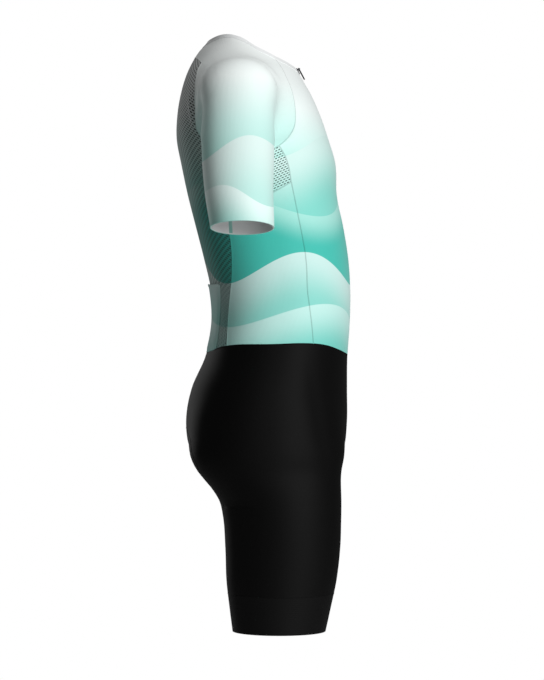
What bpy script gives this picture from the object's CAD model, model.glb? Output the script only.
import logging
import math
from dataclasses import dataclass, field
from enum import Enum, StrEnum
from typing import ClassVar

import bmesh
import bpy
import numpy as np
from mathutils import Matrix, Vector


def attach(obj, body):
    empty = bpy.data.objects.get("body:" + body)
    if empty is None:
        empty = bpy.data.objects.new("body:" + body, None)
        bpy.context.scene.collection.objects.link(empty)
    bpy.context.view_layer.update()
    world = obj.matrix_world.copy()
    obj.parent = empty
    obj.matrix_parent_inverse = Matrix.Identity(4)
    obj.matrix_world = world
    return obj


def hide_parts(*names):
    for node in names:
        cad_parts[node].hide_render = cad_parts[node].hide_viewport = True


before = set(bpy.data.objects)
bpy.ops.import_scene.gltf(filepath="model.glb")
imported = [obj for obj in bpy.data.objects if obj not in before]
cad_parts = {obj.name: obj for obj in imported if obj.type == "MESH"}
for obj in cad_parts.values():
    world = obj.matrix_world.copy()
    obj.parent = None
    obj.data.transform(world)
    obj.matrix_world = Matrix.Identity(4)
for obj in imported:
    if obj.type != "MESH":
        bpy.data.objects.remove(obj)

LOG = logging.getLogger("triathlon_suit")
MM = 0.001


class Side(StrEnum):
    """The wearer's two sides, as the nodes' names give them."""

    RIGHT = "right"
    LEFT = "left"


class Body(Enum):
    """The CAD bodies that the pieces ride on."""

    SUIT = "suit"
    PULL = "pull_tab"


class Slot(Enum):
    """The material slots of the record."""

    PRINTED = "printed_knit"
    OPEN_MESH = "open_mesh"
    BLACK = "black_knit"
    GRIPPER = "gripper_band"
    BINDING = "neck_binding"
    TAPE = "zip_tape"
    METAL = "dark_metal"


class Lie(Enum):
    """What a cloth lies round, which settles how its flat places are measured."""

    TRUNK = "trunk"
    BACK = "back"
    ARM = "arm"
    LEG = "leg"
    SEAT = "seat"


def linear(hex_colour: str) -> tuple[float, float, float, float]:
    """Turns an sRGB hex colour into linear light.

    Args:
        hex_colour: six hex digits, such as "3fbcae".

    Returns:
        Red, green, blue and an alpha of 1.
    """
    channels = [int(hex_colour[i : i + 2], 16) / 255 for i in (0, 2, 4)]
    light = [c / 12.92 if c <= 0.04045 else ((c + 0.055) / 1.055) ** 2.4 for c in channels]
    return (light[0], light[1], light[2], 1.0)


def add_node(
    tree: bpy.types.NodeTree,
    kind: str,
    settings: dict[str | int, object] | None = None,
    links: dict[str | int, bpy.types.NodeSocket] | None = None,
) -> bpy.types.Node:
    """Adds one node with its settings and its links.

    Args:
        tree: the node tree it goes into.
        kind: Blender's name for the node's type.
        settings: properties, or else default values of inputs, by name or place.
        links: the sockets that feed its inputs, by name or place.

    Returns:
        The new node.
    """
    node = tree.nodes.new(kind)
    for key, value in (settings or {}).items():
        if isinstance(key, str) and hasattr(node, key):
            setattr(node, key, value)
        else:
            node.inputs[key].default_value = value
    for key, source in (links or {}).items():
        tree.links.new(source, node.inputs[key])
    return node


# The figure that fills the suit, in millimetres, as in the part's source

TRUNK_ROWS = (
    # level, front, back, half width, squareness
    (60, -60, 44, 57, 2.0),
    (26, -66, 52, 63, 2.0),
    (10, -77, 66, 72, 2.0),
    (-8, -85.5, 77, 86, 2.0),
    (-28, -96, 86, 110, 2.1),
    (-60, -114, 95, 138, 2.2),
    (-92, -128, 100, 147, 2.3),
    (-130, -141, 101, 149, 2.3),
    (-168, -152, 94, 149, 2.3),
    (-220, -154.5, 83, 150, 2.3),
    (-271, -165, 70, 147, 2.3),
    (-322, -173, 57, 142, 2.2),
    (-373, -176, 46, 141, 2.2),
    (-424, -175, 44, 145, 2.2),
    (-476, -171.5, 55, 156, 2.2),
    (-527, -171, 77, 167, 2.2),
    (-578, -171, 86, 174, 2.3),
    (-629, -166, 80, 172, 2.3),
    (-690, -150, 60, 160, 2.3),
)
LEG_ROWS = (
    # level, centre across, centre in depth, reach across, reach in depth
    (-540, -84, -44, 60, 80),
    (-600, -84, -44, 78, 106),
    (-629, -88.5, -44, 81.5, 115),
    (-655, -90.5, -48, 83, 111),
    (-675, -92.5, -55.5, 84, 103.5),
    (-700, -93, -64, 84, 95.7),
    (-725, -94, -67, 83, 92.5),
    (-775, -95, -68, 80, 89.8),
    (-825, -96, -66, 76.5, 86),
    (-865, -97.5, -64, 72.5, 79.5),
    (-930, -99.5, -61, 66.5, 68),
)
ARM_ROWS = (
    # distance down the arm, reach across, reach in depth, bow to the back
    (0, 46, 54, 0),
    (104, 49, 55, 3.5),
    (174, 48, 51.5, 3.5),
    (237, 46, 47.5, 0),
    (314, 44, 44, 0),
)
BAR_ROWS = (
    # distance along the bar from the shoulder to the neck, reach across, reach in depth, bow to the back
    (0, 44, 53, 0),
    (115, 44, 53, 0),
)


def row_value(rows: tuple, column: int, at: np.ndarray) -> np.ndarray:
    """Reads a smooth value between the rows of a table.

    Args:
        rows: the table, whose first column is what it is read by.
        column: the column wanted.
        at: where it is read.

    Returns:
        The values, one for each place.
    """
    table = np.array(sorted(rows))
    x, y = table[:, 0], table[:, column]
    secant = np.diff(y) / np.diff(x)
    slope = np.concatenate([secant[:1], (secant[:-1] + secant[1:]) / 2, secant[-1:]])
    at = np.clip(at, x[0], x[-1])
    i = np.clip(np.searchsorted(x, at) - 1, 0, len(x) - 2)
    step = x[i + 1] - x[i]
    t = (at - x[i]) / step
    ends = y[i] * (1 + 2 * t) * (1 - t) ** 2 + y[i + 1] * t * t * (3 - 2 * t)
    return ends + step * (slope[i] * t * (1 - t) ** 2 + slope[i + 1] * t * t * (t - 1))


def soft_min(a: np.ndarray, b: np.ndarray, width: float) -> np.ndarray:
    """The lower of two values, rounded where they meet over a width."""
    near = np.maximum(width - np.abs(a - b), 0) / width
    return np.minimum(a, b) - near * near * width / 4


def on_right(points: np.ndarray) -> np.ndarray:
    """Folds the left side on to the right.

    Args:
        points: places in millimetres.

    Returns:
        A copy of the points, all on the wearer's right.
    """
    folded = points.copy()
    folded[:, 0] = -np.abs(folded[:, 0])
    return folded


def straight_run(start: tuple, end: tuple) -> tuple[np.ndarray, float, np.ndarray, np.ndarray]:
    """Measures the straight run between two places.

    Args:
        start: where it starts, in millimetres.
        end: where it ends.

    Returns:
        Its start, its length, the way along it and a way across it that has no depth.
    """
    start, end = np.array(start, float), np.array(end, float)
    length = np.linalg.norm(end - start)
    axis = (end - start) / length
    side = np.array([axis[2], 0, -axis[0]]) / math.hypot(axis[0], axis[2])
    return start, length, axis, side


@dataclass(frozen=True)
class Figure:
    """The general figure under the cloth: one smooth field, below nought inside it.

    Its places, levels and blends are in millimetres. A blend is the width over which two forms run together.
    """

    shoulder: tuple[float, float, float] = (-176, 0, -66)
    cuff: tuple[float, float, float] = (-256, -7, -282)
    neck_root: tuple[float, float, float] = (-68, 4, -48)
    crotch_level: float = -664
    legs_below: float = -500
    arms_above: float = -320
    leg_top: float = -560
    leg_rounding: float = 60
    crotch_blend: float = 60
    leg_blend: float = 26
    thighs_blend: float = 16
    shoulder_blend: float = 14
    arm_blend: float = 42
    # How far apart the field is read for its slope, the least slope it is taken to have, and a move's limit.
    probe: float = 0.5
    least_slope: float = 0.2
    longest_move: float = 20
    # A sight line from the wearer's right starts here and is read at these steps.
    sight_start: float = -320
    sight_step: float = 2.0

    def tube(self, p: np.ndarray, start: tuple, end: tuple, rows: tuple, round_end: bool) -> np.ndarray:
        """Distance outside an oval tube.

        Args:
            p: points with the left side folded on to the right.
            start: where the tube starts.
            end: where it ends.
            rows: its sizes along it.
            round_end: whether its far end is rounded off.

        Returns:
            The rough distance of each point.
        """
        start, length, axis, side = straight_run(start, end)
        reach = p - start
        along = reach @ axis
        across, deep, bow = (row_value(rows, k, along) for k in (1, 2, 3))
        past = np.maximum(along - length, 0) if round_end else 0
        over = (np.minimum(along, 0) + past) / across
        depth = (reach[:, 1] - along * axis[1] - bow) / deep
        out = np.sqrt((reach @ side / across) ** 2 + depth**2 + over**2)
        return (out - 1) * np.minimum(across, deep)

    def leg(self, x: np.ndarray, y: np.ndarray, z: np.ndarray) -> np.ndarray:
        """Distance outside the right leg.

        Args:
            x: the points' places across.
            y: their depths.
            z: their levels.

        Returns:
            The rough distance of each point.
        """
        middle, centre, across, deep = (row_value(LEG_ROWS, k, z) for k in (1, 2, 3, 4))
        over = np.maximum(z - self.leg_top, 0) / self.leg_rounding
        out = np.sqrt(((x - middle) / across) ** 2 + ((y - centre) / deep) ** 2 + over**2)
        return (out - 1) * np.minimum(across, deep)

    def field(self, points: np.ndarray) -> np.ndarray:
        """The figure's field.

        Args:
            points: places in millimetres, one a row.

        Returns:
            Below nought inside, above it outside.
        """
        p = on_right(points)
        x, y, z = p.T
        front, back, half, square = (row_value(TRUNK_ROWS, k, z) for k in (1, 2, 3, 4))
        deep = (back - front) / 2
        spread = np.abs(x / half) ** square + np.abs((y - (front + back) / 2) / deep) ** square
        value = (spread ** (1 / square) - 1) * np.minimum(half, deep)
        low, high = z < self.legs_below, z > self.arms_above
        if low.any():
            xl, yl, zl = x[low], y[low], z[low]
            capped = -soft_min(-value[low], zl - self.crotch_level, self.crotch_blend)
            own = soft_min(capped, self.leg(xl, yl, zl), self.leg_blend)
            value[low] = soft_min(own, self.leg(-xl, yl, zl), self.thighs_blend)
        if high.any():
            bar = self.tube(p[high], self.shoulder, self.neck_root, BAR_ROWS, True)
            arm = self.tube(p[high], self.shoulder, self.cuff, ARM_ROWS, False)
            value[high] = soft_min(value[high], soft_min(bar, arm, self.shoulder_blend), self.arm_blend)
        return value

    def slope(self, points: np.ndarray) -> np.ndarray:
        """Measures how the field changes.

        Args:
            points: places in millimetres.

        Returns:
            The change along each axis at each point.
        """
        columns = []
        for step in np.eye(3) * self.probe:
            columns.append((self.field(points + step) - self.field(points - step)) / (2 * self.probe))
        return np.stack(columns, axis=1)

    def outward(self, points: np.ndarray) -> np.ndarray:
        """The way straight out of the figure at each point."""
        slope = self.slope(points)
        return slope / np.linalg.norm(slope, axis=1, keepdims=True)

    def height(self, points: np.ndarray) -> np.ndarray:
        """How far each point stands off the figure's skin, in millimetres."""
        steepness = np.maximum(np.linalg.norm(self.slope(points), axis=1), self.least_slope)
        return self.field(points) / steepness

    def settled(self, points: np.ndarray, rounds: int = 3) -> np.ndarray:
        """Moves points on to the figure's skin.

        Args:
            points: places near the skin.
            rounds: how many times each is moved.

        Returns:
            The places on the skin.
        """
        p = points.copy()
        for _ in range(rounds):
            slope = self.slope(p)
            steepness = np.maximum(np.linalg.norm(slope, axis=1, keepdims=True), self.least_slope)
            move = np.clip(self.field(p)[:, None] / steepness, -self.longest_move, self.longest_move)
            p -= slope / steepness * move
        return p

    def beside(self, places: tuple) -> np.ndarray:
        """Finds skin by where it is seen from the wearer's right.

        Args:
            places: pairs of depth and level, in millimetres.

        Returns:
            A point on the skin for each.
        """
        walk = np.arange(self.sight_start, 1, self.sight_step)
        found = []
        for depth, level in places:
            line = np.stack([walk, np.full(len(walk), depth), np.full(len(walk), level)], axis=1)
            inside = np.flatnonzero(self.field(line) < 0)
            found.append(line[inside[0] if len(inside) else -1])
        return self.settled(np.array(found))


FIGURE = Figure()


# Cloth


@dataclass
class Skin:
    """The outer face of one cloth, in millimetres: points, triangles and how far each point stands off."""

    points: np.ndarray
    faces: np.ndarray
    lifts: np.ndarray
    # A CAD point lower than INNER is on a cloth's inner face, and points nearer than WELD are one point.
    INNER: ClassVar[float] = -0.6
    WELD: ClassVar[float] = 0.005
    # A triangle whose sides' cross product is less than SLIVER has no size, and one whose normal leans
    # further from the way out than the cosine OUTWARD is part of a rim.
    SLIVER: ClassVar[float] = 1e-4
    OUTWARD: ClassVar[float] = 0.4
    # A rim has a corner where the cosine of its turn is less than this.
    STRAIGHT: ClassVar[float] = 0.86

    @classmethod
    def of_node(cls, name: str) -> "Skin":
        """Copies the outer face of a CAD node.

        Args:
            name: the node.

        Returns:
            Its outer face.
        """
        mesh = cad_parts[name].data
        mesh.calc_loop_triangles()
        places = np.array([v.co[:] for v in mesh.vertices]) / MM
        corners = np.array([t.vertices[:] for t in mesh.loop_triangles])
        cells = np.round(places / cls.WELD)
        _, first, welded = np.unique(cells, axis=0, return_index=True, return_inverse=True)
        places, corners = places[first], welded.reshape(-1)[corners]
        a, b, c = (places[corners[:, k]] for k in range(3))
        normal = np.cross(b - a, c - a)
        size = np.linalg.norm(normal, axis=1)
        whole = size > cls.SLIVER
        corners, normal = corners[whole], normal[whole] / size[whole, None]
        height = FIGURE.height(places)
        if height.min() < cls.INNER:
            outer = (height[corners] > cls.INNER).all(axis=1)
        else:  # it stands off the skin on both faces, as the pocket does
            outer = (normal * FIGURE.outward(places[corners].mean(axis=1))).sum(axis=1) > cls.OUTWARD
        used, corners = np.unique(corners[outer], return_inverse=True)
        points = places[used]
        return cls(points, corners.reshape(-1, 3), FIGURE.height(points))

    def edges(self) -> np.ndarray:
        """Each triangle's three edges, in the triangle's direction."""
        return self.faces[:, [0, 1, 1, 2, 2, 0]].reshape(-1, 2)

    def open_edges(self) -> np.ndarray:
        """Finds the edges of the rim.

        Returns:
            The edges that belong to one face only, each in that face's direction.
        """
        edges = self.edges()
        _, first, counts = np.unique(np.sort(edges, axis=1), axis=0, return_index=True, return_counts=True)
        return edges[first[counts == 1]]

    def loops(self) -> list[np.ndarray]:
        """Joins the open edges.

        Returns:
            The rings of the rim, each as its points' numbers.
        """
        after = {int(a): int(b) for a, b in self.open_edges()}
        rings = []
        while after:
            start, here = next(iter(after.items()))
            ring = [start]
            del after[start]
            while here != start and here in after:
                ring.append(here)
                here = after.pop(here)
            rings.append(np.array(ring))
        return rings

    def finer(self) -> "Skin":
        """Divides each triangle into four, with its open edges kept on smooth curves.

        Returns:
            The finer face.
        """
        unique, inverse = np.unique(np.sort(self.edges(), axis=1), axis=0, return_inverse=True)
        middle = (self.points[unique[:, 0]] + self.points[unique[:, 1]]) / 2
        number = {(int(a), int(b)): i for i, (a, b) in enumerate(unique)}
        for ring in self.loops():
            p = self.points[ring]
            before, after = p - np.roll(p, 1, axis=0), np.roll(p, -1, axis=0) - p
            lengths = np.linalg.norm(before, axis=1) * np.linalg.norm(after, axis=1)
            straight = (before * after).sum(axis=1) / lengths > self.STRAIGHT
            for i, here in enumerate(ring):
                j = (i + 1) % len(ring)
                a, b = p[i], p[j]
                ahead = p[(i + 2) % len(ring)] if straight[j] else 2 * b - a
                behind = p[i - 1] if straight[i] else 2 * a - b
                edge = tuple(sorted((int(here), int(ring[j]))))
                # The four-point rule bends the middle out by a sixteenth of what its neighbours bend.
                middle[number[edge]] = (a + b) / 2 + (a + b - ahead - behind) / 16
        ab, bc, ca = (inverse.reshape(-1, 3) + len(self.points)).T
        a, b, c = self.faces.T
        quarters = ((a, ab, ca), (ab, b, bc), (ca, bc, c), (ab, bc, ca))
        faces = np.concatenate([np.stack(t, axis=1) for t in quarters])
        lifts = np.concatenate([self.lifts, self.lifts[unique].mean(axis=1)])
        return Skin(np.concatenate([self.points, middle]), faces, lifts)

    def smooth(self, times: int) -> "Skin":
        """Divides the cloth and lays it back on the figure.

        Args:
            times: how many times each triangle is divided into four.

        Returns:
            The fine cloth.
        """
        skin = self
        for _ in range(times):
            skin = skin.finer()
        ground = FIGURE.settled(skin.points - FIGURE.outward(skin.points) * skin.lifts[:, None])
        skin.points = ground + FIGURE.outward(ground) * skin.lifts[:, None]
        return skin


class Flat:
    """Where a point of cloth lies on its flat cut, in metres, for the knit and the print.

    Limbs and seat are measured as a turn about a middle line, times a usual reach in millimetres.
    """

    # The turns at which half a ring round the trunk is measured, from the front to the back.
    TURNS: ClassVar[np.ndarray] = np.linspace(0, math.pi, 97)
    ARM_REACH: ClassVar[float] = 48
    LEG_MIDDLE: ClassVar[tuple[float, float]] = (-93, -60)
    LEG_REACH: ClassVar[float] = 85
    SEAT_MIDDLE: ClassVar[tuple[float, float]] = (-45, -560)
    SEAT_REACH: ClassVar[float] = 110

    @staticmethod
    def trunk(points: np.ndarray, from_back: bool = False) -> np.ndarray:
        """Measures a point round the trunk.

        Args:
            points: places in millimetres.
            from_back: True to measure from the centre back, and False from the centre front.

        Returns:
            The run round the trunk, left of the middle above nought, and the level, in metres.
        """
        x, y, z = points.T
        front, back, half, square = (row_value(TRUNK_ROWS, k, z) for k in (1, 2, 3, 4))
        middle, deep = (front + back) / 2, (back - front) / 2
        across = np.abs(x / half) ** (square / 2)
        depth = (middle - y) / deep
        turn = np.arctan2(across, np.sign(depth) * np.abs(depth) ** (square / 2))
        share = 2 / square[:, None]
        ring_x = half[:, None] * np.sin(Flat.TURNS) ** share
        cosine = np.cos(Flat.TURNS)
        ring_y = deep[:, None] * np.sign(cosine) * np.abs(cosine) ** share
        run = np.cumsum(np.hypot(np.diff(ring_x, axis=1), np.diff(ring_y, axis=1)), axis=1)
        run = np.concatenate([np.zeros((len(z), 1)), run], axis=1)
        place = turn / math.pi * (len(Flat.TURNS) - 1)
        i = np.clip(place.astype(int), 0, len(Flat.TURNS) - 2)
        row = np.arange(len(z))
        along = run[row, i] + (run[row, i + 1] - run[row, i]) * (place - i)
        if from_back:
            return np.stack([np.sign(x) * (run[:, -1] - along), z], axis=1) * MM
        return np.stack([np.where(x > 0, 1, -1) * along, z], axis=1) * MM

    @staticmethod
    def back(points: np.ndarray) -> np.ndarray:
        """The run round the trunk from the centre back, and the level."""
        return Flat.trunk(points, from_back=True)

    @staticmethod
    def arm(points: np.ndarray) -> np.ndarray:
        """Measures a point round the arm.

        Args:
            points: places in millimetres.

        Returns:
            The run round the arm, and the distance down it below nought, in metres.
        """
        start, _, axis, side = straight_run(FIGURE.shoulder, FIGURE.cuff)
        reach = on_right(points) - start
        along = reach @ axis
        turn = np.arctan2(reach[:, 1] - along * axis[1], reach @ side)
        return np.stack([turn * Flat.ARM_REACH, -along], axis=1) * MM

    @staticmethod
    def leg(points: np.ndarray) -> np.ndarray:
        """The run round the leg from its outer side, and the level."""
        turn = np.arctan2(points[:, 1] - Flat.LEG_MIDDLE[1], np.abs(points[:, 0]) + Flat.LEG_MIDDLE[0])
        return np.stack([turn * Flat.LEG_REACH, points[:, 2]], axis=1) * MM

    @staticmethod
    def seat(points: np.ndarray) -> np.ndarray:
        """Across the seat, and the run under it from back to front."""
        turn = np.arctan2(points[:, 1] - Flat.SEAT_MIDDLE[0], Flat.SEAT_MIDDLE[1] - points[:, 2])
        return np.stack([points[:, 0], turn * Flat.SEAT_REACH], axis=1) * MM

    @classmethod
    def place(cls, lie: Lie, points: np.ndarray) -> np.ndarray:
        """Picks the measure for what the cloth lies round.

        Args:
            lie: what it lies round.
            points: places in millimetres.

        Returns:
            Flat places in metres, one a row.
        """
        measures = {
            Lie.TRUNK: cls.trunk,
            Lie.BACK: cls.back,
            Lie.ARM: cls.arm,
            Lie.LEG: cls.leg,
            Lie.SEAT: cls.seat,
        }
        return measures[lie](points)

    @staticmethod
    def print_place(lie: Lie, points: np.ndarray) -> np.ndarray:
        """Finds where a point lies in the print.

        Args:
            lie: what the cloth lies round.
            points: places in millimetres.

        Returns:
            The run round the body, or the depth on a sleeve, and the level, in metres.
        """
        if lie is Lie.ARM:
            return points[:, 1:] * MM
        return np.abs(Flat.trunk(points)) * [1, -1]


@dataclass(frozen=True)
class Fold:
    """A fold or trough on both sides, in millimetres: its line as seen from the side, height and reach."""

    places: tuple[tuple[float, float], ...]
    height: float
    reach: float
    # A fold fades along its line as a sine to the power BLUNT, read no nearer to its ends than END.
    BLUNT: ClassVar[float] = 0.6
    END: ClassVar[float] = 0.02

    def raise_at(self, points: np.ndarray) -> np.ndarray:
        """How far the fold moves each point out.

        Args:
            points: places in millimetres.

        Returns:
            The move outwards, below nought for a trough.
        """
        line = FIGURE.beside(self.places)
        p = on_right(points)
        nearest = np.full(len(p), np.inf)
        share = np.zeros(len(p))
        for i, (a, b) in enumerate(zip(line, line[1:])):
            way = b - a
            t = np.clip((p - a) @ way / (way @ way), 0, 1)
            gap = np.linalg.norm(p - a - t[:, None] * way, axis=1)
            closer = gap < nearest
            nearest[closer] = gap[closer]
            share[closer] = ((i + t) / (len(line) - 1))[closer]
        fade = np.sin(math.pi * np.clip(share, self.END, 1 - self.END)) ** self.BLUNT
        return self.height * fade * np.exp(-((nearest / self.reach) ** 2))


# Each fold's places are a depth and a level. The bridges are where cloth spans a hollow of the shoulder.
GROIN = Fold(((-108, -470), (-117, -540), (-125, -590), (-141, -672)), -0.9, 12)
GROIN_RIDGE = Fold(((-90, -480), (-96, -545), (-104, -600), (-122, -680)), 0.5, 16)
BACK_DRAPE = Fold(((78, -66), (74, -95), (67, -128)), 2.8, 5)
BACK_CREASE = Fold(((69, -62), (66, -98), (62, -132)), -2.2, 4)
ARMPIT = Fold(((-92, -128), (-74, -142), (-58, -150)), -2.0, 7)
ARMPIT_ROLL = Fold(((-90, -112), (-68, -134), (-44, -152)), 1.6, 8)
SHOULDER_BRIDGE = Fold(
    ((52, -62), (38, -29), (18, -19), (-4, -15), (-26, -18), (-43, -29), (-56, -44), (-62, -66)), 3.6, 13
)
BACK_BRIDGE = Fold(((52, -34), (59, -70), (60, -106), (54, -146)), 4.5, 10)


class Mesher:
    """Turns arrays of points and faces into Blender pieces."""

    @staticmethod
    def placed(name: str, data: bpy.types.ID) -> bpy.types.Object:
        """Adds an object to the scene.

        Args:
            name: its name.
            data: its mesh, lamp or camera.

        Returns:
            The object.
        """
        obj = bpy.data.objects.new(name, data)
        bpy.context.scene.collection.objects.link(obj)
        return obj

    @staticmethod
    def soften(mesh: bpy.types.Mesh, sharp: float) -> None:
        """Shades a mesh smoothly, with edges over an angle in degrees left sharp."""
        mesh.polygons.foreach_set("use_smooth", np.ones(len(mesh.polygons), bool))
        mesh.set_sharp_from_angle(angle=math.radians(sharp))

    @classmethod
    def piece(
        cls,
        name: str,
        points: np.ndarray,
        faces: list,
        flats: dict[str, np.ndarray],
        materials: list[bpy.types.Material],
        inner_from: int | None = None,
        sharp: float = 50,
    ) -> bpy.types.Object:
        """Makes a mesh object from points in millimetres.

        Args:
            name: the piece's name.
            points: places, one a row.
            faces: lists of point numbers.
            flats: the flat places of each point, by the name of the map.
            materials: the outer material, and the inner one where it has one.
            inner_from: the number of the first face that wears the inner material.
            sharp: the angle in degrees over which an edge stays sharp.

        Returns:
            The object.
        """
        mesh = bpy.data.meshes.new(name)
        mesh.from_pydata((points * MM).tolist(), [], faces)
        for material in materials:
            mesh.materials.append(material)
        corner = np.zeros(len(mesh.loops), int)
        mesh.loops.foreach_get("vertex_index", corner)
        for map_name, places in flats.items():
            layer = mesh.uv_layers.new(name=map_name)
            layer.uv.foreach_set("vector", places[corner].astype(np.float32).ravel())
        if inner_from is not None and len(materials) > 1:
            worn = np.zeros(len(mesh.polygons), int)
            worn[inner_from:] = 1
            mesh.polygons.foreach_set("material_index", worn)
        cls.soften(mesh, sharp)
        mesh.update()
        return cls.placed(name, mesh)

    @staticmethod
    def ride(obj: bpy.types.Object, body: Body, slot: Slot, nodes: tuple[str, ...] = ()) -> bpy.types.Object:
        """Fixes a piece to its body and says what it stands for.

        Args:
            obj: the piece.
            body: the CAD body it rides on.
            slot: the record's slot of its finish.
            nodes: the CAD nodes it replaces.

        Returns:
            The same piece.
        """
        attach(obj, body.value)
        if nodes:
            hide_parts(*nodes)
        LOG.info("%s: %d faces, rides on %s", obj.name, len(obj.data.polygons), body.value)
        return obj


@dataclass
class Cloth:
    """One cut piece of cloth: its CAD node, slot, flat cut in metres and wall in millimetres.

    Its area is what shows of the cut, in square metres, or None for all of it. Its triangles are divided
    into four as often as its fineness says. Where it is a patch, its edge is sewn down below a level.
    """

    node: str
    lie: Lie
    slot: Slot
    cut: tuple[float, float]
    area: float | None
    wall: float = 1.6
    fineness: int = 2
    folds: tuple[Fold, ...] = ()
    sewn_below: float | None = None
    skin: Skin | None = None
    piece: bpy.types.Object | None = None
    # A patch thins over this width to this wall, and lies at this height, at its sewn edges.
    SEWN_WIDTH: ClassVar[float] = 9.0
    SEWN_WALL: ClassVar[float] = 0.35
    SEWN_HEIGHT: ClassVar[float] = 0.5

    def sew(self, outer: bpy.types.Material, inner: bpy.types.Material | None = None) -> bpy.types.Object:
        """Makes the piece as a closed thin wall that stands for its node.

        Args:
            outer: the finish of its outer face and edges.
            inner: the finish of its inner face, where it differs.

        Returns:
            The piece.
        """
        self.skin = Skin.of_node(self.node).smooth(self.fineness)
        points, faces = self.skin.points, self.skin.faces
        out = FIGURE.outward(points)
        for fold in self.folds:
            points = points + out * fold.raise_at(points)[:, None]
        walls = np.full((len(points), 1), self.wall)
        if self.sewn_below is not None:
            points, walls = self.sewn_down(points, out)
        self.skin.points = points
        count = len(points)
        rims = self.skin.open_edges()
        rim_faces = np.concatenate([rims[:, ::-1], rims + count], axis=1)
        everything = faces.tolist() + rim_faces.tolist() + (faces[:, ::-1] + count).tolist()
        both = np.concatenate([points, points - out * walls])
        knit, printed = Flat.place(self.lie, points), Flat.print_place(self.lie, points)
        flats = {"cloth": np.tile(knit, (2, 1)), "print": np.tile(printed, (2, 1))}
        materials = [outer, inner] if inner else [outer]
        obj = Mesher.piece(f"cloth_{self.node}", both, everything, flats, materials, len(faces) + len(rims))
        self.piece = Mesher.ride(obj, Body.SUIT, self.slot, (self.node,))
        a, b, c = (points[faces[:, k]] for k in range(3))
        shown = np.linalg.norm(np.cross(b - a, c - a), axis=1).sum() / 2 * MM * MM
        spread = np.ptp(knit, axis=0)
        LOG.info("%s: shows %.5f square metres, spread %.3f x %.3f", self.node, shown, *spread)
        return self.piece

    def sewn_down(self, points: np.ndarray, out: np.ndarray) -> tuple[np.ndarray, np.ndarray]:
        """Thins a patch towards its sewn edges, so that they lie flat on the cloth below.

        Args:
            points: the outer face.
            out: the way out at each point.

        Returns:
            The outer face and the wall at each point.
        """
        rim = points[np.unique(self.skin.open_edges())]
        rim = rim[rim[:, 2] < self.sewn_below]
        near = np.linalg.norm(points[:, None] - rim[None], axis=2).min(axis=1)
        share = np.clip(near / self.SEWN_WIDTH, 0, 1)
        share = (share * share * (3 - 2 * share))[:, None]
        drop = (self.skin.lifts[:, None] - self.SEWN_HEIGHT) * (1 - share)
        return points - out * drop, self.SEWN_WALL + (self.wall - self.SEWN_WALL) * share


@dataclass(frozen=True)
class Ribbon:
    """A narrow raised strip of sewing along a line on the cloth, in millimetres."""

    width: float = 2.4
    height: float = 0.35
    sink: float = 0.25
    # The strip's section: the angle in degrees over which it shades sharp, its places across as shares of
    # the width, and its heights as shares of the height. Its two outer points are sunk in the cloth.
    SHARP: ClassVar[float] = 80
    ACROSS: ClassVar[tuple[float, ...]] = (-0.5, -0.32, 0, 0.32, 0.5)
    RISE: ClassVar[tuple[float, ...]] = (0.8, 1, 0.8)

    def build(
        self,
        name: str,
        lines: list[tuple[np.ndarray, bool]],
        lie: Lie,
        material: bpy.types.Material,
        slot: Slot,
        side: float = 1,
    ) -> bpy.types.Object | None:
        """Lays the strip along its lines.

        Args:
            name: the piece's name.
            lines: runs of points on the cloth, each with whether it is a ring.
            lie: what the cloth lies round.
            material: the finish.
            slot: the record's slot of the finish.
            side: 1 on the outer face, and -1 on the inner one.

        Returns:
            The piece, or None where there is no line.
        """
        points, faces, runs, base = [], [], [], 0
        across = np.array(self.ACROSS) * self.width
        rise = np.array([-self.sink, *(share * self.height for share in self.RISE), -self.sink])
        strand = np.arange(len(across) - 1)
        for line, ring in lines:
            if len(line) < 3:
                continue
            ahead = np.roll(line, -1, axis=0) if ring else np.concatenate([line[1:], line[-1:]])
            behind = np.roll(line, 1, axis=0) if ring else np.concatenate([line[:1], line[:-1]])
            way = ahead - behind
            way /= np.linalg.norm(way, axis=1, keepdims=True)
            out = FIGURE.outward(line) * side
            aside = np.cross(out, way)
            aside /= np.linalg.norm(aside, axis=1, keepdims=True)
            rows = line[:, None] + aside[:, None] * across[:, None] + out[:, None] * rise[:, None]
            points.append(rows.reshape(-1, 3))
            run = np.cumsum(np.linalg.norm(line - behind, axis=1))
            runs.append(np.stack(np.broadcast_arrays(run[:, None], across), axis=2).reshape(-1, 2) * MM)
            count = len(line)
            row = np.arange(count if ring else count - 1)[:, None]
            here = base + len(across) * row + strand
            there = base + len(across) * ((row + 1) % count) + strand
            faces += np.stack([here, there, there + 1, here + 1], axis=2).reshape(-1, 4).tolist()
            base += len(across) * count
        if not points:
            return None
        places = np.concatenate(points)
        flats = {"cloth": np.concatenate(runs), "print": Flat.print_place(lie, places)}
        obj = Mesher.piece(name, places, faces, flats, [material], sharp=self.SHARP)
        return Mesher.ride(obj, Body.SUIT, slot)


# A cloth meets itself only at points of its rim that are at least this many points apart along it.
OWN_SEAM_POINTS = 12


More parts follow.
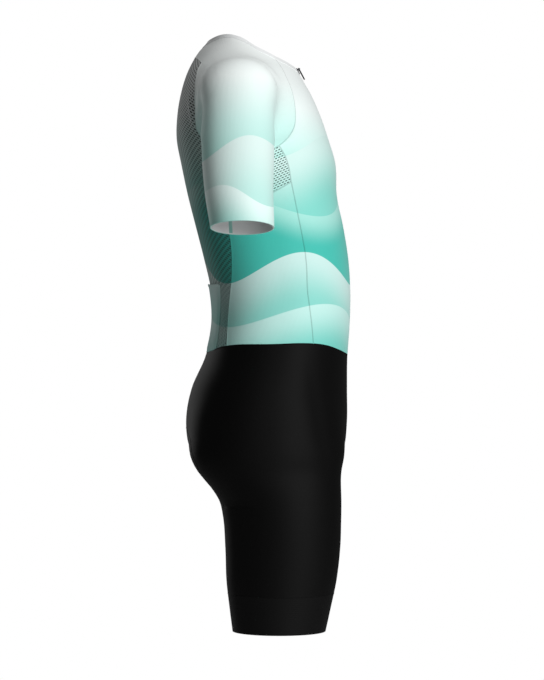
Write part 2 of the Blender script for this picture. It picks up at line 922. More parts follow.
def shared_edge(one: Cloth, other: Cloth, reach: float = 2.2) -> list[tuple[np.ndarray, bool]]:
    """Finds where two cloths meet.

    Args:
        one: the cloth whose edge is followed.
        other: the cloth it meets, or the same one for a seam of its own.
        reach: how near they lie, in millimetres.

    Returns:
        Runs of points along the edge, each with whether it is a ring.
    """
    found = []
    theirs = np.concatenate([other.skin.points[r] for r in other.skin.loops()])
    for ring in one.skin.loops():
        line = one.skin.points[ring]
        if one is other:
            number = np.arange(len(line))
            apart = np.abs(number[:, None] - number[None])
            apart = np.minimum(apart, len(line) - apart)
            gap = np.linalg.norm(line[:, None] - line[None], axis=2)
            gap[apart < OWN_SEAM_POINTS] = np.inf
        else:
            gap = np.linalg.norm(line[:, None] - theirs[None], axis=2)
        near = gap.min(axis=1) < reach
        if near.all():
            found.append((line, True))
            continue
        if not near.any():
            continue
        shift = int(np.flatnonzero(~near)[0])
        near, line = np.roll(near, -shift), np.roll(line, -shift, axis=0)
        for start in np.flatnonzero(near & ~np.roll(near, 1)):
            past = np.flatnonzero(~near[start:])
            end = start + past[0] if len(past) else len(near)
            found.append((line[start:end], False))
    return found


# Finishes


@dataclass(frozen=True)
class Dune:
    """One soft wave of the print: its crest line, how far it fades, and its colours."""

    crest: float
    swell: float
    run: float
    phase: float
    fall: float
    light: str
    deep: str


@dataclass(frozen=True)
class KnitSurface:
    """The relief of a warp knit: fine wales and courses, and the soft shine of its yarn."""

    # Real wales and courses lie about 0.6 mm apart. They are drawn about 1.9 mm apart, so that they show.
    wale: float = 1.9
    course: float = 1.9
    depth: float = 0.35
    strength: float = 0.22
    roughness: float = 0.72
    sheen: float = 0.25
    specular: float = 0.35
    # How far wales and courses wander from straight, and what their relief counts for beside a hole.
    WANDER: ClassVar[tuple[float, float]] = (0.4, 0.6)
    BESIDE_HOLES: ClassVar[float] = 0.3

    def dress(
        self,
        tree: bpy.types.NodeTree,
        colour: bpy.types.NodeSocket,
        holes: bpy.types.NodeSocket | None = None,
    ) -> None:
        """Adds the shader with the knit's relief, and the material's output.

        Args:
            tree: the material's node tree.
            colour: the socket of the pattern's colour.
            holes: a socket that is 1 in the cloth and 0 in its holes.
        """
        place = add_node(tree, "ShaderNodeUVMap", {"uv_map": "cloth"})
        threads = {}
        for direction, pitch, wander in zip("XY", (self.wale, self.course), self.WANDER):
            # A wave texture's bands lie 2 pi / 20 of its own unit apart.
            scale = math.pi / 10 / (pitch * MM)
            bands = {"bands_direction": direction, "Scale": scale, "Distortion": wander, "Detail": 1.0}
            wave = add_node(tree, "ShaderNodeTexWave", bands, {"Vector": place.outputs[0]})
            threads[len(threads)] = wave.outputs["Fac"]
        relief = add_node(tree, "ShaderNodeMath", {"operation": "MULTIPLY"}, threads).outputs[0]
        if holes is not None:
            faint = {"operation": "MULTIPLY_ADD", 1: self.BESIDE_HOLES}
            relief = add_node(tree, "ShaderNodeMath", faint, {0: relief, 2: holes}).outputs[0]
        rise = {"Strength": self.strength, "Distance": self.depth * MM}
        bump = add_node(tree, "ShaderNodeBump", rise, {"Height": relief})
        shader = add_node(
            tree,
            "ShaderNodeBsdfPrincipled",
            {
                "Roughness": self.roughness,
                "Specular IOR Level": self.specular,
                "Sheen Weight": self.sheen,
                "Sheen Roughness": 0.5,
                "Sheen Tint": linear("ffffff"),
            },
            {"Base Color": colour, "Normal": bump.outputs[0]},
        )
        add_node(tree, "ShaderNodeOutputMaterial", {}, {0: shader.outputs[0]})


def fresh_material(name: str) -> tuple[bpy.types.Material, bpy.types.NodeTree]:
    """Makes an empty material.

    Args:
        name: its name.

    Returns:
        The material and its node tree.
    """
    material = bpy.data.materials.new(name)
    material.use_nodes = True
    material.node_tree.nodes.clear()
    return material, material.node_tree


@dataclass(frozen=True)
class PrintedKnit:
    """Polyester and elastane warp knit, dye-sublimated on its white face: matt, with soft-edged colour."""

    name: str
    ground: tuple[tuple[float, str], ...]
    dunes: tuple[Dune, ...]
    surface: KnitSurface = KnitSurface()
    shade: float = 1.0
    mesh: bool = False
    # The slits are drawn 5.4 mm apart in rows 3.6 mm apart, about twice the real spacing, so that they show.
    slit_pitch: float = 5.4
    slit_rows: float = 7.2
    slit_half_long: float = 2.15
    slit_half_high: float = 0.95
    slit_lean: float = 0.42
    slit_tone: str = "5d6866"
    # Half the width over which the dye runs at a dune's crest, in metres.
    DYE_RUN: ClassVar[float] = 0.0005
    # Where a slit's rim starts and ends, as shares of the slit's half size.
    SLIT_RIM: ClassVar[tuple[float, float]] = (0.75, 1.15)

    def colour(self, tree: bpy.types.NodeTree) -> bpy.types.NodeSocket:
        """Draws the ground colour and the dunes over it.

        Args:
            tree: the material's node tree.

        Returns:
            The socket of the colour.
        """
        place = add_node(tree, "ShaderNodeUVMap", {"uv_map": "print"})
        split = add_node(tree, "ShaderNodeSeparateXYZ", {}, {0: place.outputs[0]})
        run, level = split.outputs[0], split.outputs[1]
        top, bottom = self.ground[0][0], self.ground[-1][0]
        down = add_node(tree, "ShaderNodeMapRange", {"From Min": top, "From Max": bottom}, {"Value": level})
        ramp = add_node(tree, "ShaderNodeValToRGB", {}, {0: down.outputs[0]})
        stops = ramp.color_ramp.elements
        while len(stops) < len(self.ground):
            stops.new(0.5)
        for stop, (at, shade) in zip(stops, self.ground):
            stop.position = (at - top) / (bottom - top)
            stop.color = linear(shade)
        colour = ramp.outputs[0]
        for dune in self.dunes:
            colour = self.laid(tree, dune, run, level, colour)
        return colour

    def laid(
        self,
        tree: bpy.types.NodeTree,
        dune: Dune,
        run: bpy.types.NodeSocket,
        level: bpy.types.NodeSocket,
        under: bpy.types.NodeSocket,
    ) -> bpy.types.NodeSocket:
        """Lays one dune over the colour so far.

        Args:
            tree: the material's node tree.
            dune: the dune.
            run: the socket of the run round the body.
            level: the socket of the level.
            under: the socket of the colour so far.

        Returns:
            The socket of the new colour.
        """
        waves = {"operation": "MULTIPLY_ADD", 1: 2 * math.pi / dune.run, 2: dune.phase}
        turn = add_node(tree, "ShaderNodeMath", waves, {0: run})
        sine = add_node(tree, "ShaderNodeMath", {"operation": "SINE"}, {0: turn.outputs[0]})
        swell = {"operation": "MULTIPLY_ADD", 1: dune.swell, 2: dune.crest}
        crest = add_node(tree, "ShaderNodeMath", swell, {0: sine.outputs[0]})
        below = add_node(tree, "ShaderNodeMath", {"operation": "SUBTRACT"}, {0: crest.outputs[0], 1: level})
        shares = []
        for start, end in ((-self.DYE_RUN, self.DYE_RUN), (0.0, dune.fall)):
            reach = {"interpolation_type": "SMOOTHSTEP", "From Min": start, "From Max": end}
            shares.append(add_node(tree, "ShaderNodeMapRange", reach, {"Value": below.outputs[0]}).outputs[0])
        inside, faded = shares
        # A colour mix has its two colours at inputs 6 and 7, and its result at output 2.
        tones = {"data_type": "RGBA", 6: linear(dune.light), 7: linear(dune.deep)}
        tone = add_node(tree, "ShaderNodeMix", tones, {0: faded})
        links = {0: inside, 6: under, 7: tone.outputs[2]}
        return add_node(tree, "ShaderNodeMix", {"data_type": "RGBA"}, links).outputs[2]

    def holes(self, tree: bpy.types.NodeTree) -> bpy.types.NodeSocket:
        """Draws staggered rows of short slits.

        Args:
            tree: the material's node tree.

        Returns:
            A socket that is 1 in the cloth and 0 in a hole.
        """
        flat = add_node(tree, "ShaderNodeUVMap", {"uv_map": "cloth"})
        axes = add_node(tree, "ShaderNodeSeparateXYZ", {}, {0: flat.outputs[0]})
        across, up = axes.outputs[0], axes.outputs[1]
        lean = {"operation": "MULTIPLY_ADD", 1: -self.slit_lean}
        risen = add_node(tree, "ShaderNodeMath", lean, {0: across, 2: up})
        place = add_node(tree, "ShaderNodeCombineXYZ", {}, {0: across, 1: risen.outputs[0]})
        cells = (1 / (self.slit_pitch * MM), 1 / (self.slit_rows * MM), 0)
        ovals = (self.slit_pitch / self.slit_half_long, self.slit_rows / self.slit_half_high, 0)
        spans = []
        for shift in (0.0, 0.5):
            steps = (
                {"operation": "MULTIPLY_ADD", 1: cells, 2: (shift, shift, 0)},
                {"operation": "FRACTION"},
                {"operation": "SUBTRACT", 1: (0.5, 0.5, 0)},
                {"operation": "MULTIPLY", 1: ovals},
                {"operation": "LENGTH"},
            )
            node = place
            for step in steps:
                node = add_node(tree, "ShaderNodeVectorMath", step, {0: node.outputs[0]})
            spans.append(node.outputs["Value"])
        nearest = add_node(tree, "ShaderNodeMath", {"operation": "MINIMUM"}, dict(enumerate(spans)))
        start, end = self.SLIT_RIM
        rim = {"interpolation_type": "SMOOTHSTEP", "From Min": start, "From Max": end}
        return add_node(tree, "ShaderNodeMapRange", rim, {"Value": nearest.outputs[0]}).outputs[0]

    def material(self) -> bpy.types.Material:
        """Makes the Blender material.

        Returns:
            The material.
        """
        material, tree = fresh_material(self.name)
        colour = self.colour(tree)
        holes = self.holes(tree) if self.mesh else None
        darker = {"data_type": "RGBA", "blend_type": "MULTIPLY", 0: 1.0}
        if holes is not None:
            dark = add_node(tree, "ShaderNodeMix", {**darker, 7: linear(self.slit_tone)}, {6: colour})
            links = {0: holes, 6: dark.outputs[2], 7: colour}
            colour = add_node(tree, "ShaderNodeMix", {"data_type": "RGBA"}, links).outputs[2]
        if self.shade < 1:
            grey = (self.shade, self.shade, self.shade, 1)
            colour = add_node(tree, "ShaderNodeMix", {**darker, 7: grey}, {6: colour}).outputs[2]
        self.surface.dress(tree, colour, holes)
        return material


@dataclass(frozen=True)
class PlainKnit:
    """A piece-dyed or undyed knit in one yarn, with slight unevenness from the knitting."""

    name: str
    colour: str
    uneven: str
    surface: KnitSurface = KnitSurface()
    # The uneven patches' size in millimetres.
    PATCH: ClassVar[float] = 16.7

    def material(self) -> bpy.types.Material:
        """Makes the Blender material.

        Returns:
            The material.
        """
        material, tree = fresh_material(self.name)
        place = add_node(tree, "ShaderNodeUVMap", {"uv_map": "cloth"})
        patches = {"Scale": 1 / (self.PATCH * MM), "Detail": 3.0}
        cloud = add_node(tree, "ShaderNodeTexNoise", patches, {"Vector": place.outputs[0]})
        tones = {"data_type": "RGBA", 6: linear(self.colour), 7: linear(self.uneven)}
        tone = add_node(tree, "ShaderNodeMix", tones, {0: cloud.outputs["Fac"]})
        self.surface.dress(tree, tone.outputs[2])
        return material


@dataclass(frozen=True)
class CastZinc:
    """Die-cast zinc, tumbled and painted dark: a satin skin that is worn lighter on its edges."""

    name: str = "painted_cast_zinc"
    colour: str = "26282b"
    worn: str = "6d7175"
    roughness: float = 0.38
    # The size of the tumbled grain and the depth of its pits in millimetres, and where it is rubbed through.
    GRAIN: ClassVar[float] = 1.11
    PIT: ClassVar[float] = 0.05
    RUBBED: ClassVar[tuple[float, float]] = (0.62, 0.75)

    def material(self) -> bpy.types.Material:
        """Makes the Blender material.

        Returns:
            The material.
        """
        material, tree = fresh_material(self.name)
        place = add_node(tree, "ShaderNodeTexCoord")
        size = {"Scale": 1 / (self.GRAIN * MM), "Detail": 4.0}
        grain = add_node(tree, "ShaderNodeTexNoise", size, {"Vector": place.outputs["Object"]}).outputs["Fac"]
        start, end = self.RUBBED
        rub = add_node(tree, "ShaderNodeMapRange", {"From Min": start, "From Max": end}, {"Value": grain})
        tones = {"data_type": "RGBA", 6: linear(self.colour), 7: linear(self.worn)}
        tone = add_node(tree, "ShaderNodeMix", tones, {0: rub.outputs[0]})
        pits = {"Strength": 0.2, "Distance": self.PIT * MM}
        bump = add_node(tree, "ShaderNodeBump", pits, {"Height": grain})
        shader = add_node(
            tree,
            "ShaderNodeBsdfPrincipled",
            {"Metallic": 0.7, "Roughness": self.roughness},
            {"Base Color": tone.outputs[2], "Normal": bump.outputs[0]},
        )
        add_node(tree, "ShaderNodeOutputMaterial", {}, {0: shader.outputs[0]})
        return material


BODY_GROUND = (
    (0.0, "eef2f1"),
    (-0.09, "e8f2f0"),
    (-0.15, "c9ebe5"),
    (-0.21, "8fd8cc"),
    (-0.27, "4cc3b5"),
    (-0.36, "3cbcae"),
    (-0.47, "7dd0c5"),
)
BODY_DUNES = (
    Dune(-0.150, 0.022, 0.31, 0.4, 0.10, "cfeae5", "7fd3c7"),
    Dune(-0.232, 0.026, 0.39, 2.6, 0.05, "a2dfd5", "3cbcae"),
    Dune(-0.338, 0.024, 0.27, 4.1, 0.08, "c9e9e4", "86d3c8"),
    Dune(-0.412, 0.018, 0.35, 5.6, 0.07, "bfe9e2", "6bc8bc"),
)
SLEEVE_GROUND = (
    (0.04, "eef1f0"),
    (-0.05, "ecf4f2"),
    (-0.12, "c5e9e3"),
    (-0.20, "9cdacf"),
    (-0.30, "7fd0c4"),
)
SLEEVE_DUNES = (
    Dune(-0.165, 0.022, 0.19, 2.2, 0.11, "d8ece8", "b4e3db"),
    Dune(-0.235, 0.016, 0.15, 0.6, 0.07, "dff4f0", "9adbd0"),
)


@dataclass(frozen=True)
class Wardrobe:
    """Every finish of the suit, made once."""

    body: bpy.types.Material
    body_seam: bpy.types.Material
    sleeve: bpy.types.Material
    sleeve_seam: bpy.types.Material
    mesh: bpy.types.Material
    back: bpy.types.Material
    pocket: bpy.types.Material
    reverse: bpy.types.Material
    black: bpy.types.Material
    black_seam: bpy.types.Material
    gripper: bpy.types.Material
    binding: bpy.types.Material
    tape: bpy.types.Material
    teeth: bpy.types.Material
    metal: bpy.types.Material

    @classmethod
    def stocked(cls) -> "Wardrobe":
        """Makes every finish.

        Returns:
            The wardrobe.
        """
        black = KnitSurface(depth=0.2, roughness=0.62, sheen=0.0, specular=0.1)
        ribbed = KnitSurface(wale=60.0, course=3.0, depth=0.4, roughness=0.68, sheen=0.0, specular=0.12)
        open_knit = KnitSurface(depth=0.6, strength=0.4, sheen=0.1)
        woven = KnitSurface(wale=1.2, course=1.2, depth=0.25, roughness=0.8, sheen=0.15)
        thread = KnitSurface(wale=2.4, course=1.2, depth=0.4, roughness=0.7, sheen=0.2)
        dull = KnitSurface(wale=2.4, course=1.2, depth=0.4, roughness=0.7, sheen=0.0, specular=0.1)
        smooth = KnitSurface(depth=0.05, roughness=0.4)
        body = (BODY_GROUND, BODY_DUNES)
        sleeve = (SLEEVE_GROUND, SLEEVE_DUNES)
        finishes = {
            "body": PrintedKnit("sublimated_polyester_knit", *body),
            # Overlock thread takes the print less well than the knit, so a seam shows as a darker line.
            "body_seam": PrintedKnit("overlocked_seam_body", *body, thread, 0.72),
            "sleeve": PrintedKnit("sublimated_sleeve_knit", *sleeve),
            "sleeve_seam": PrintedKnit("overlocked_seam_sleeve", *sleeve, thread, 0.78),
            "mesh": PrintedKnit("sublimated_open_mesh", *body, open_knit, mesh=True),
            # The back's slits are drawn three times as far apart as they are, because it is seen at a slant.
            "back": PrintedKnit(
                "sublimated_back_mesh",
                *body,
                open_knit,
                shade=0.66,
                mesh=True,
                slit_pitch=8.0,
                slit_rows=8.0,
                slit_half_long=3.1,
                slit_half_high=1.2,
                slit_tone="1f302c",
            ),
            # The pocket is of doubled cloth, a shade darker than the body's.
            "pocket": PrintedKnit("sublimated_pocket_knit", *body, shade=0.74),
            # The dye doesn't reach the knit's back, so the inside is plain and nearly white.
            "reverse": PlainKnit("unprinted_knit_reverse", "e6e8e8", "dddfdf"),
            # Dyed black elastane knit takes in nearly all light, so it is matt and shows few folds.
            "black": PlainKnit("dyed_black_elastane_knit", "020202", "030303", black),
            "black_seam": PlainKnit("black_overlock_thread", "020202", "050505", dull),
            # The gripper is ribbed round the leg only, which gives it fine level lines.
            "gripper": PlainKnit("black_gripper_elastic", "030303", "040404", ribbed),
            # Binding and tape are woven close, so they look flatter and more even than the knit.
            "binding": PlainKnit("white_folded_binding", "eceeee", "e2e5e5", woven),
            "tape": PlainKnit("white_woven_zip_tape", "e9ebeb", "dcdfdf", woven),
            # Moulded nylon is smoother than the tape that it is sewn to, and catches a small highlight.
            "teeth": PlainKnit("white_nylon_coil", "f0f1f1", "e2e4e4", smooth),
            "metal": CastZinc(),
        }
        return cls(**{name: finish.material() for name, finish in finishes.items()})


@dataclass
class Section:
    """A part of the suit: its finishes, its cloths by node, and the seams that lie on each cloth."""

    wardrobe: Wardrobe
    ribbon: Ribbon = Ribbon()
    cloths: dict[str, Cloth] = field(default_factory=dict)
    seams: dict[str, list[bpy.types.Object]] = field(default_factory=dict)

    def add(self, cloth: Cloth, outer: bpy.types.Material, inner: bpy.types.Material | None = None) -> None:
        """Sews one cloth and keeps it by its node's name.

        Args:
            cloth: the cloth.
            outer: the finish of its outer face.
            inner: the finish of its inner face, where it differs.
        """
        cloth.sew(outer, inner)
        self.cloths[cloth.node] = cloth
        self.seams[cloth.node] = []

    def join(self, name: str, one: Cloth, other: Cloth, material: bpy.types.Material, slot: Slot) -> None:
        """Lays the sewing where two cloths meet, if they do.

        Args:
            name: the seam's name.
            one: the cloth whose edge it follows, and which it lies on.
            other: the cloth that it meets.
            material: the finish.
            slot: the record's slot of the finish.
        """
        made = self.ribbon.build(f"seam_{name}", shared_edge(one, other), one.lie, material, slot)
        if made:
            self.seams[one.node].append(made)

    def declare(self) -> None:
        """Says what each cloth is cut from and which seams go with it."""


@dataclass
class Jersey(Section):
    """The upper body: fronts, side panels, underarm mesh, sleeves, back and its pocket."""

    # The sleeve's own seam, in millimetres: its start, end and step down the arm, and its reach from the
    # arm's middle. Then the shares of that reach inward and to the back.
    own_seam_run: tuple[float, float, float] = (122, 227, 5.0)
    own_seam_reach: float = 46
    own_seam_way: tuple[float, float] = (0.92, 0.39)
    sleeve_wall: float = 1.6
    mesh_wall: float = 1.4
    # The pocket's edge is sewn down below this level.
    pocket_mouth: float = -366
    overlock: Ribbon = Ribbon(6.5, 0.6, 0.2)
    pocket_hem: Ribbon = Ribbon(5.0, 0.6, 0.5)
    pocket_stitch: Ribbon = Ribbon(2.0, 0.3, 0.4)
    # The seams of each side: the name, the cloth that is followed and the one that it meets.
    SIDE_SEAMS: ClassVar[tuple[tuple[str, str, str], ...]] = (
        ("raglan", "sleeve", "front"),
        ("underarm", "sleeve", "underarm_mesh"),
        ("gusset_front", "underarm_mesh", "front"),
        ("gusset_foot", "underarm_mesh", "side_panel"),
        ("side_front", "front", "side_panel"),
    )
    # The seams with the back mesh: the name and the cloth that is followed.
    BACK_SEAMS: ClassVar[tuple[tuple[str, str], ...]] = (
        ("raglan_back", "sleeve"),
        ("gusset_back", "underarm_mesh"),
        ("side_back", "side_panel"),
    )

    def build(self) -> None:
        """Makes and dresses every cloth of the jersey."""
        w = self.wardrobe
        trunk, knit, mesh, thin = Lie.TRUNK, Slot.PRINTED, Slot.OPEN_MESH, self.mesh_wall
        armpit, rounded = (ARMPIT,), (ARMPIT, ARMPIT_ROLL, SHOULDER_BRIDGE, BACK_BRIDGE)
        for side in Side:
            front = Cloth(f"front_{side}", trunk, knit, (0.170, 0.470), 0.062, folds=armpit)
            panel = Cloth(f"side_panel_{side}", trunk, knit, (0.145, 0.245), 0.027)
            gusset = Cloth(f"underarm_mesh_{side}", trunk, mesh, (0.130, 0.100), 0.0088, thin, folds=armpit)
            sleeve = Cloth(f"sleeve_{side}", Lie.ARM, knit, (0.340, 0.390), 0.096, folds=rounded)
            for cloth, finish in ((front, w.body), (panel, w.body), (gusset, w.mesh), (sleeve, w.sleeve)):
                self.add(cloth, finish, w.reverse)
        drape = (BACK_DRAPE, BACK_CREASE)
        back = Cloth("back_mesh", Lie.BACK, mesh, (0.300, 0.460), 0.109, thin, folds=drape)
        pocket = Cloth("back_pocket", Lie.BACK, knit, (0.165, 0.104), None, sewn_below=self.pocket_mouth)
        self.add(back, w.back, w.reverse)
        self.add(pocket, w.pocket, w.reverse)

    def seam(self, name: str, one: str, other: str) -> None:
        """Lays the sewing between two cloths of the jersey.

        Args:
            name: the seam's name.
            one: the node of the cloth that is followed, and whose print the seam carries.
            other: the node of the cloth that it meets.
        """
        first = self.cloths[one]
        material = self.wardrobe.sleeve_seam if first.lie is Lie.ARM else self.wardrobe.body_seam
        self.join(name, first, self.cloths[other], material, Slot.PRINTED)

    def sleeve_underarm(self, side: Side) -> None:
        """Lays the sleeve's own seam from the armpit to the hem, with its flat overlock inside.

        Args:
            side: the side of the wearer.
        """
        start, _, axis, outward = straight_run(FIGURE.shoulder, FIGURE.cuff)
        inward, backward = self.own_seam_way
        way = -inward * outward + backward * np.array([0.0, 1.0, 0.0])
        reach = np.arange(*self.own_seam_run)[:, None]
        line = FIGURE.settled(start + axis * reach + way * self.own_seam_reach)
        if side is Side.LEFT:
            line = line * [-1.0, 1.0, 1.0]
        inside = line - FIGURE.outward(line) * self.sleeve_wall
        strips = (("underarm", line, self.ribbon, 1), ("inside", inside, self.overlock, -1))
        for name, at, ribbon, face in strips:
            full = f"seam_sleeve_{name}_{side}"
            made = ribbon.build(full, [(at, False)], Lie.ARM, self.wardrobe.sleeve_seam, Slot.PRINTED, face)
            self.seams[f"sleeve_{side}"].append(made)

    def pocket_bands(self) -> None:
        """Lays the band at the pocket's mouth and the stitching round its sewn edge."""
        pocket = self.cloths["back_pocket"]
        ring = pocket.skin.points[pocket.skin.loops()[0]]
        mouth = ring[:, 2] > pocket.sewn_below
        shift = int(np.flatnonzero(~mouth)[0])
        ring, mouth = np.roll(ring, -shift, axis=0), np.roll(mouth, -shift)
        for name, at, ribbon in (("mouth", mouth, self.pocket_hem), ("edge", ~mouth, self.pocket_stitch)):
            full = f"seam_pocket_{name}"
            made = ribbon.build(full, [(ring[at], False)], Lie.BACK, self.wardrobe.pocket, Slot.PRINTED)
            self.seams["back_pocket"].append(made)

    def sew_seams(self) -> None:
        """Lays every seam of the jersey."""
        for side in Side:
            for name, one, other in self.SIDE_SEAMS:
                self.seam(f"{name}_{side}", f"{one}_{side}", f"{other}_{side}")
            for name, one in self.BACK_SEAMS:
                self.seam(f"{name}_{side}", f"{one}_{side}", "back_mesh")
            self.sleeve_underarm(side)
        self.pocket_bands()
        self.seam("yoke_centre", "sleeve_right", "sleeve_left")


@dataclass
class Shorts(Section):
    """The lower body: two legs, the seat gusset and the gripper bands."""

    ribbon: Ribbon = Ribbon(2.2, 0.3, 0.25)

    def build(self) -> None:
        """Makes and dresses every cloth of the shorts."""
        w = self.wardrobe
        groin = (GROIN, GROIN_RIDGE)
        for side in Side:
            leg = Cloth(f"shorts_{side}", Lie.LEG, Slot.BLACK, (0.500, 0.430), 0.168, folds=groin)
            band = Cloth(f"leg_band_{side}", Lie.LEG, Slot.GRIPPER, (0.450, 0.059), None)
            self.add(leg, w.black)
            self.add(band, w.gripper)
        self.add(Cloth("seat_gusset", Lie.SEAT, Slot.BLACK, (0.220, 0.300), 0.036), w.black)

    def sew_seams(self, jersey: Jersey) -> None:
        """Lays every seam of the shorts, the waist seam among them.

        Args:
            jersey: the upper body that the waist seam joins.
        """
        black = self.wardrobe.black_seam
        for side in Side:
            leg, band = self.cloths[f"shorts_{side}"], self.cloths[f"leg_band_{side}"]
            joins = (
                ("inseam", leg, leg),
                ("leg_band", band, leg),
                ("seat", leg, self.cloths["seat_gusset"]),
                ("waist_front", leg, jersey.cloths[f"front_{side}"]),
                ("waist_side", leg, jersey.cloths[f"side_panel_{side}"]),
                ("waist_back", leg, jersey.cloths["back_mesh"]),
            )
            for name, one, other in joins:
                self.join(f"{name}_{side}", one, other, black, Slot.BLACK)
        self.join("shorts_centre", self.cloths["shorts_right"], self.cloths["shorts_left"], black, Slot.BLACK)


@dataclass
class NeckAndZip(Section):
    """The neck binding and the front zip with its tapes, coil, slider and pull, in millimetres."""

    ribbon: Ribbon = Ribbon(1.6, 0.2, 0.5)
    tooth_pitch: float = 2.0
    tooth_long: float = 2.6
    tooth_high: float = 1.1
    tooth_proud: float = 0.9
    tooth_sunk: float = 0.3
    coil_top: float = -27.0
    coil_foot: float = -470.0
    rounding: float = 0.2
    binding_wall: float = 2.4
    # A tooth's corners: each across and down it as shares of its length and height, from the zip's middle.
    TOOTH: ClassVar[tuple] = ((-0.35, -0.5), (0.65, -0.5), (0.65, 0.5), (-0.35, 0.5))
    # A tooth rises straight to this share of its height, and then narrows to this share of its size.
    SHOULDER: ClassVar[float] = 0.6
    CROWN: ClassVar[float] = 0.55
    # A casting's edge is rounded over the first of these angles in degrees, and shaded sharp over the second.
    EDGE: ClassVar[tuple[float, float]] = (40, 35)

    def build(self) -> None:
        """Makes and dresses the collar, the tapes and the coil, and dresses the slider and pull."""
        w = self.wardrobe
        collar = Cloth("collar", Lie.BACK, Slot.BINDING, (0.545, 0.010), 0.0031, self.binding_wall)
        self.add(collar, w.binding)
        for side in Side:
            self.add(Cloth(f"zip_tape_{side}", Lie.TRUNK, Slot.TAPE, (0.010, 0.470), 0.0033), w.tape)
        self.coil()
        self.casting("zip_slider", Body.SUIT)
        self.casting("zip_pull", Body.PULL)

    def casting(self, node: str, body: Body) -> bpy.types.Object:
        """Makes a cast piece with rounded edges in place of a CAD node.

        Args:
            node: the CAD node.
            body: the body it rides on.

        Returns:
            The piece.
        """
        rounded_over, sharp_over = self.EDGE
        mesh = bpy.data.meshes.new(f"cast_{node}")
        shape = bmesh.new()
        shape.from_mesh(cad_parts[node].data)
        bmesh.ops.remove_doubles(shape, verts=shape.verts, dist=Skin.WELD * MM)
        flat = math.radians(1)
        bmesh.ops.dissolve_limit(shape, angle_limit=flat, verts=shape.verts, edges=shape.edges)
        bend = math.radians(rounded_over)
        corners = [e for e in shape.edges if e.is_manifold and e.calc_face_angle(0) > bend]
        width = self.rounding * MM
        bmesh.ops.bevel(
            shape, geom=corners, offset=width, offset_type="OFFSET", segments=2, profile=0.5, affect="EDGES"
        )
        bmesh.ops.triangulate(shape, faces=shape.faces)
        shape.to_mesh(mesh)
        shape.free()
        mesh.materials.append(self.wardrobe.metal)
        Mesher.soften(mesh, sharp_over)
        return Mesher.ride(Mesher.placed(f"cast_{node}", mesh), body, Slot.METAL, (node,))

    def sew_seams(self, jersey: Jersey) -> None:
        """Lays the seams of the binding and of the tapes.

        Args:
            jersey: the upper body that they are sewn to.
        """
        w = self.wardrobe
        collar = self.cloths["collar"]
        for side in Side:
            front, tape = jersey.cloths[f"front_{side}"], self.cloths[f"zip_tape_{side}"]
            joins = (
                ("neck_front", collar, front, w.binding, Slot.BINDING),
                ("neck_sleeve", collar, jersey.cloths[f"sleeve_{side}"], w.binding, Slot.BINDING),
                ("tape", tape, front, w.body_seam, Slot.TAPE),
                ("tape_top", tape, collar, w.binding, Slot.TAPE),
            )
            for name, *join in joins:
                self.join(f"{name}_{side}", *join)

    def coil(self) -> bpy.types.Object:
        """Makes the zip's coil, one tooth at a time, from the slider down to the waist.

        Returns:
            The piece.
        """
        levels = np.arange(self.coil_top, self.coil_foot, -self.tooth_pitch / 2)
        middle = np.stack([np.zeros(len(levels)), row_value(TRUNK_ROWS, 1, levels), levels], axis=1)
        middle = FIGURE.settled(middle)
        out = FIGURE.outward(middle)
        down = np.gradient(middle, axis=0)
        down /= np.linalg.norm(down, axis=1, keepdims=True)
        aside = np.array([1.0, 0, 0])
        top = self.tooth_proud
        rings = ((-self.tooth_sunk, 1.0), (top * self.SHOULDER, 1.0), (top, self.CROWN))
        points, faces = [], []
        for i, place in enumerate(middle):
            side = 1 if i % 2 else -1
            base = len(points)
            for proud, share in rings:
                for x, z in self.TOOTH:
                    across = aside * side * x * self.tooth_long * share
                    points.append(place + across + down[i] * z * self.tooth_high * share + out[i] * proud)
            tooth = [[k, (k + 1) % 4, (k + 1) % 4 + 4, k + 4] for k in range(4)]
            tooth += [[k + 4 for k in face] for face in tooth] + [[8, 9, 10, 11]]
            faces += [[base + k for k in face[::side]] for face in tooth]
        places = np.array(points)
        flat = Flat.trunk(places)
        flats = {"cloth": flat, "print": flat}
        obj = Mesher.piece("zip_coil", places, faces, flats, [self.wardrobe.teeth], sharp=30)
        return Mesher.ride(obj, Body.SUIT, Slot.TAPE)


@dataclass(frozen=True)
class Lamp:
    """A soft rectangular lamp: where it hangs and what it points at, its size in metres, and its watts."""

    name: str
    place: tuple[float, float, float]
    target: tuple[float, float, float]
    size: tuple[float, float]
    power: float

    def hang(self) -> None:
        """Adds the lamp to the scene."""
        data = bpy.data.lights.new(self.name, "AREA")
        data.shape = "RECTANGLE"
        data.size, data.size_y = self.size
        data.energy = self.power
        lamp = Mesher.placed(self.name, data)
        lamp.location = self.place
        lamp.rotation_mode = "QUATERNION"
        lamp.rotation_quaternion = (Vector(self.target) - Vector(self.place)).to_track_quat("-Z", "Y")


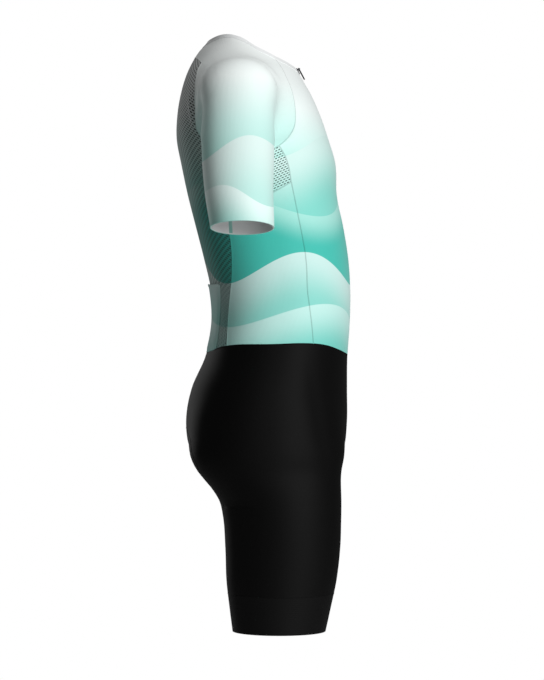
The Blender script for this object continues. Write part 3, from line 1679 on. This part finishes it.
@dataclass(frozen=True)
class Studio:
    """The pale floor, the soft lights and the camera. Places are in metres."""

    camera_place: tuple[float, float, float] = (-4.0, -0.0512, -0.450)
    camera_turn: tuple[float, float, float] = (90, 0, -90)
    lens: float = 132.35
    sensor: float = 36
    sight: float = 50
    floor_level: float = -1.15
    floor_reach: float = 1.0
    ambient: float = 0.14
    lamps: tuple[Lamp, ...] = (
        Lamp("key", (-3.14, -2.64, 0.9), (0, -0.05, -0.4), (1.6, 2.2), 113),
        Lamp("top", (-1.3, -1.0, 2.4), (-0.1, 0, -0.1), (1.2, 1.2), 22),
        Lamp("rim", (2.9, 2.0, 0.2), (0, 0, -0.45), (0.5, 2.4), 15),
        Lamp("fill", (-2.3, -1.4, -1.0), (-0.25, 0, -0.35), (1.2, 0.5), 19),
    )

    def camera(self) -> None:
        """Sets the camera at the wearer's right, level with the waist."""
        data = bpy.data.cameras.new("camera")
        data.lens = self.lens
        data.sensor_width = self.sensor
        data.sensor_fit = "AUTO"
        data.clip_end = self.sight
        cam = Mesher.placed("camera", data)
        cam.location = self.camera_place
        cam.rotation_euler = [math.radians(turn) for turn in self.camera_turn]
        bpy.context.scene.camera = cam

    def floor(self) -> None:
        """Lays a plain pale round floor below the suit."""
        mesh = bpy.data.meshes.new("floor")
        shape = bmesh.new()
        bmesh.ops.create_circle(shape, cap_ends=True, radius=self.floor_reach, segments=96)
        shape.to_mesh(mesh)
        shape.free()
        material, tree = fresh_material("pale_floor")
        paint = {"Base Color": linear("f2f2f2"), "Roughness": 0.9}
        shader = add_node(tree, "ShaderNodeBsdfPrincipled", paint)
        add_node(tree, "ShaderNodeOutputMaterial", {}, {0: shader.outputs[0]})
        mesh.materials.append(material)
        obj = Mesher.placed("floor", mesh)
        obj.location = (0, 0, self.floor_level)

    def world(self) -> None:
        """Gives a white surround, dimmer as light than as seen."""
        world = bpy.data.worlds.new("studio")
        world.use_nodes = True
        tree = world.node_tree
        tree.nodes.clear()
        seen = add_node(tree, "ShaderNodeLightPath").outputs["Is Camera Ray"]
        reach = {"To Min": self.ambient, "To Max": 1.0}
        strength = add_node(tree, "ShaderNodeMapRange", reach, {"Value": seen})
        light = add_node(tree, "ShaderNodeBackground", {0: (1, 1, 1, 1)}, {"Strength": strength.outputs[0]})
        add_node(tree, "ShaderNodeOutputWorld", {}, {0: light.outputs[0]})
        bpy.context.scene.world = world

    def build(self) -> None:
        """Makes the whole studio."""
        bpy.context.scene.view_settings.view_transform = "Standard"
        self.camera()
        self.floor()
        self.world()
        for lamp in self.lamps:
            lamp.hang()


def main() -> None:
    """Builds the suit's sections in order, sews them together and declares their cloths."""
    logging.basicConfig(level=logging.INFO, format="%(message)s")
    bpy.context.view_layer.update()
    Studio().build()
    wardrobe = Wardrobe.stocked()
    jersey, shorts, neck = Jersey(wardrobe), Shorts(wardrobe), NeckAndZip(wardrobe)
    sections = (jersey, shorts, neck)
    for section in sections:
        section.build()
    jersey.sew_seams()
    shorts.sew_seams(jersey)
    neck.sew_seams(jersey)
    for section in sections:
        section.declare()


if __name__ == "__main__":
    main()
